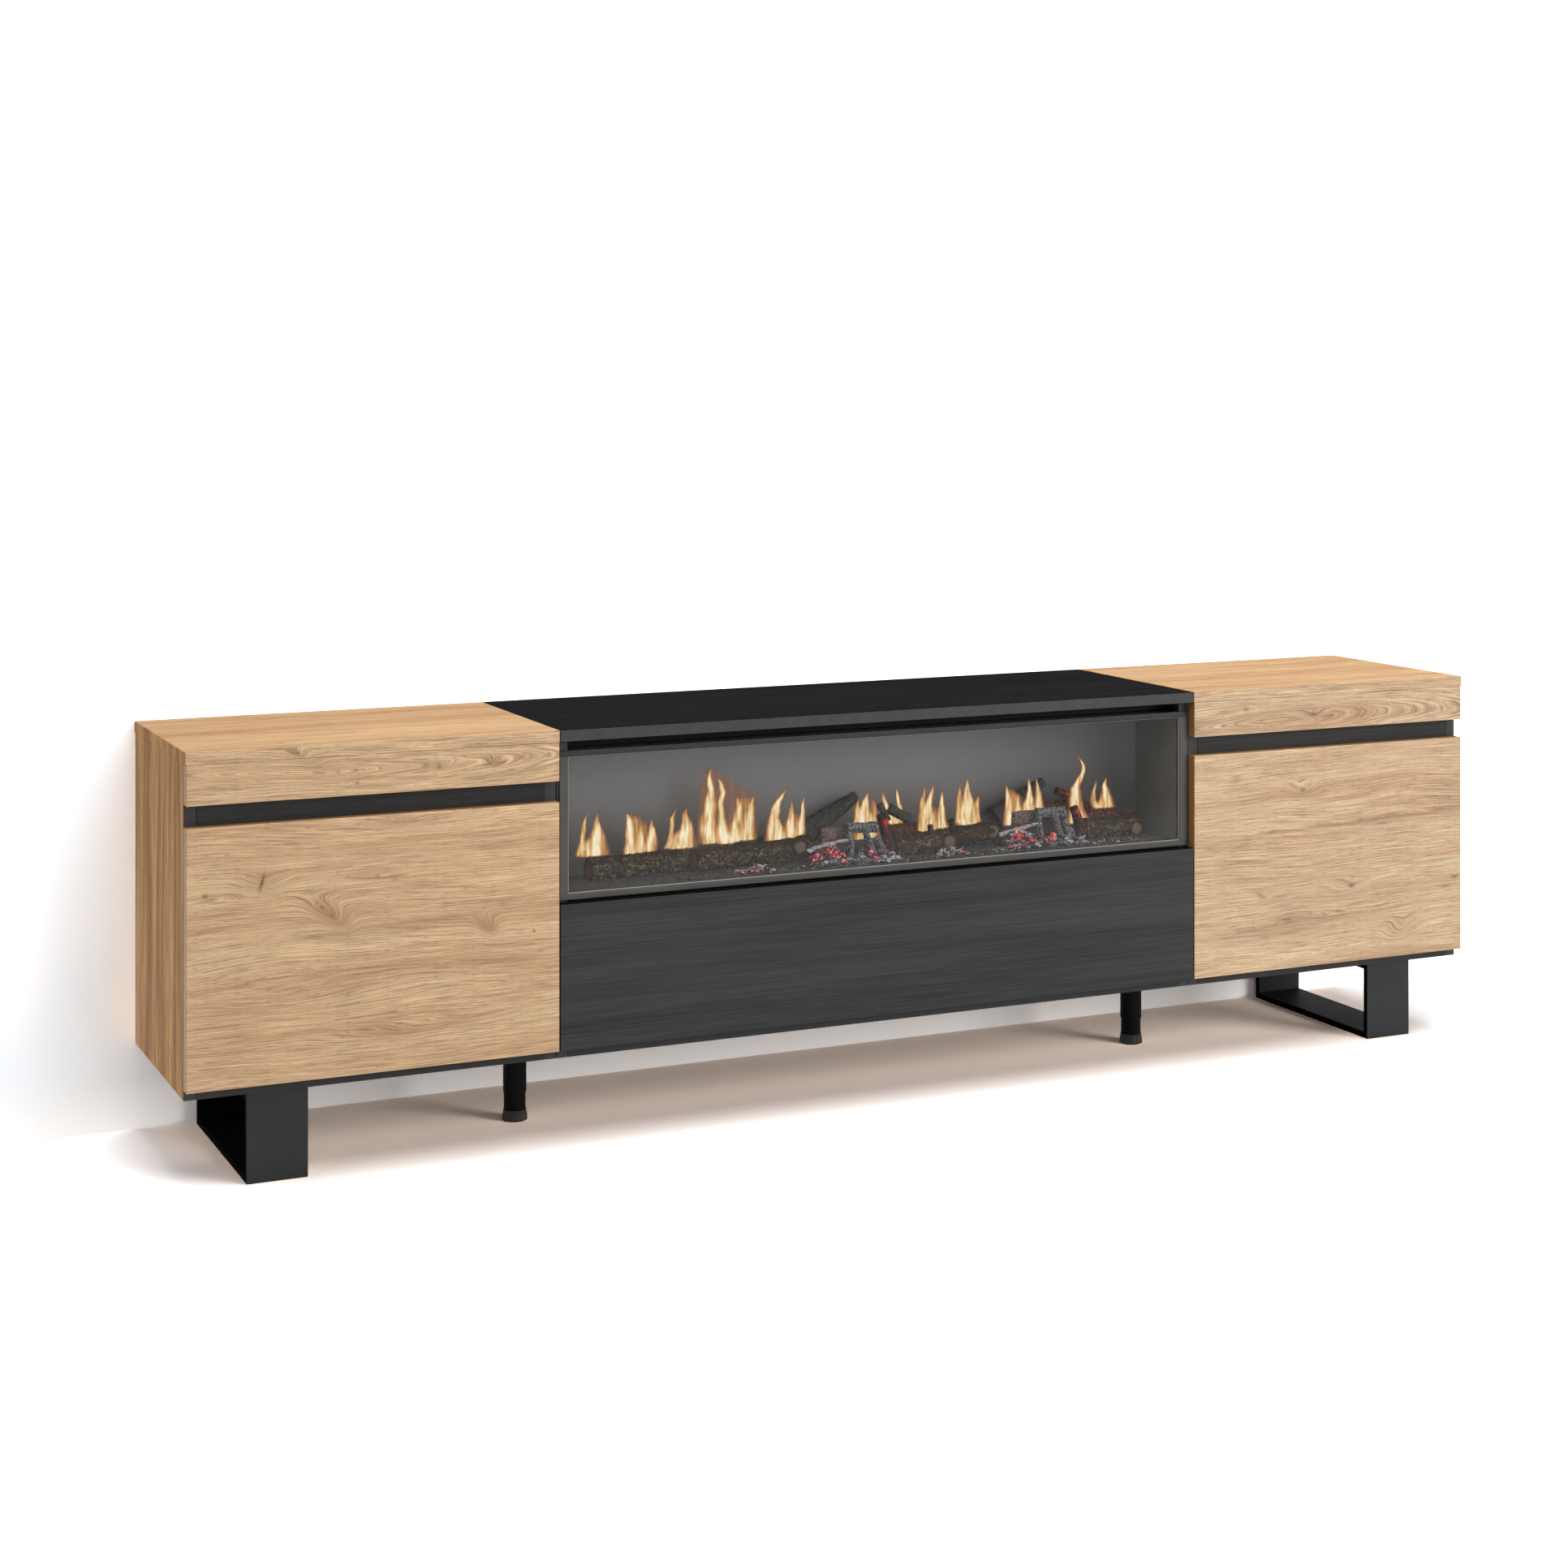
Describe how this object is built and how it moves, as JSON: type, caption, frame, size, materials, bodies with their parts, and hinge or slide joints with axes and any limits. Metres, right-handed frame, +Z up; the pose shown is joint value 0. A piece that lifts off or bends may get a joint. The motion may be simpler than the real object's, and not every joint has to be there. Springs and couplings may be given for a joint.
{
  "type": "tv stand with electric fire",
  "caption": "Low wide television stand in oak and black with a glass-fronted electric fire over a drop flap, hinged side doors, loop legs and round middle legs",
  "frame": {"origin": "on the floor, under the middle of the stand's outer size", "axes": "+Z up, +X to the right as seen from the front, front faces -Y"},
  "size_m": [2, 0.332, 0.56],
  "materials": {
    "oak_melamine": "matt printed oak laminate",
    "black_melamine": "matt wood-grain laminate",
    "back_board": "thin fibreboard",
    "powder_coated_steel": "matt powder coat",
    "nickel_plated_steel": "nickel plate",
    "coated_bezel_sheet": "satin grey coat",
    "front_glass": "clear safety glass",
    "flame_screen": "matt diffusing sheet",
    "bark_resin": "moulded bark, painted",
    "ember_resin": "moulded charred wood and embers",
    "reflector_aluminium": "bright sheet",
    "black_plastic": "moulded",
    "lamp_strip": "diffuser over a row of lamps"
  },
  "bodies": {
    "stand": {"left_top": "oak_melamine", "left_outer_side": "oak_melamine", "left_inner_side": "oak_melamine", "left_bottom": "black_melamine", "left_back": "back_board", "left_fascia": "oak_melamine", "left_rail": "black_melamine", "left_shelf": "oak_melamine", "left_hinge_arm_upper": "nickel_plated_steel", "left_hinge_arm_lower": "nickel_plated_steel", "left_loop_leg": "powder_coated_steel", "left_post": "powder_coated_steel", "right_top": "oak_melamine", "right_outer_side": "oak_melamine", "right_inner_side": "oak_melamine", "right_bottom": "black_melamine", "right_back": "back_board", "right_fascia": "oak_melamine", "right_rail": "black_melamine", "right_shelf": "oak_melamine", "right_hinge_arm_upper": "nickel_plated_steel", "right_hinge_arm_lower": "nickel_plated_steel", "right_loop_leg": "powder_coated_steel", "right_post": "powder_coated_steel", "center_top": "black_melamine", "center_left_side": "black_melamine", "center_right_side": "black_melamine", "center_bottom": "black_melamine", "center_deck": "black_melamine", "center_back": "back_board", "center_stretcher": "black_melamine", "flap_hinge_arm_left": "nickel_plated_steel", "flap_hinge_arm_right": "nickel_plated_steel", "latch_body": "black_plastic", "insert_casing": "powder_coated_steel", "insert_bezel": "coated_bezel_sheet", "insert_glass": "front_glass", "flame_screen": "flame_screen", "mains_inlet": "black_plastic", "rotor_motor": "black_plastic", "lamp_strip": "lamp_strip", "ember_bed": "ember_resin", "log_1": "bark_resin", "log_2": "bark_resin", "log_3": "bark_resin", "log_4": "bark_resin"},
    "left_door_leaf": {"left_door": "oak_melamine", "left_hinge_cup_upper": "nickel_plated_steel", "left_hinge_cup_lower": "nickel_plated_steel"},
    "right_door_leaf": {"right_door": "oak_melamine", "right_hinge_cup_upper": "nickel_plated_steel", "right_hinge_cup_lower": "nickel_plated_steel"},
    "flap_leaf": {"flap": "black_melamine", "flap_hinge_cup_left": "nickel_plated_steel", "flap_hinge_cup_right": "nickel_plated_steel"},
    "plunger": {"latch_plunger": "black_plastic"},
    "rotor": {"flame_rotor": "reflector_aluminium"},
    "left_levelling_foot": {"left_foot": "black_plastic"},
    "right_levelling_foot": {"right_foot": "black_plastic"}
  },
  "joints": [
    {"name": "left_door_hinge", "type": "hinge", "parent": "stand", "child": "left_door_leaf", "pos_m": [-0.999, -0.14985, 0.2975], "axis": [0, 0, -1], "range_deg": [0, 105]},
    {"name": "right_door_hinge", "type": "hinge", "parent": "stand", "child": "right_door_leaf", "pos_m": [0.999, -0.14985, 0.2975], "axis": [0, 0, 1], "range_deg": [0, 105]},
    {"name": "flap_hinge", "type": "hinge", "parent": "stand", "child": "flap_leaf", "pos_m": [0, -0.14985, 0.131], "axis": [1, 0, 0], "range_deg": [0, 90]},
    {"name": "latch_push", "type": "slide", "parent": "stand", "child": "plunger", "axis": [0, 1, 0], "range_m": [0, 0.004], "stiffness_N_per_m": 200},
    {"name": "rotor_turn", "type": "hinge", "parent": "stand", "child": "rotor", "pos_m": [0, -0.0064, 0.364], "axis": [1, 0, 0], "continuous": true},
    {"name": "left_foot_level", "type": "slide", "parent": "stand", "child": "left_levelling_foot", "axis": [0, 0, -1], "range_m": [0, 0.012]},
    {"name": "right_foot_level", "type": "slide", "parent": "stand", "child": "right_levelling_foot", "axis": [0, 0, -1], "range_m": [0, 0.012]}
  ]
}
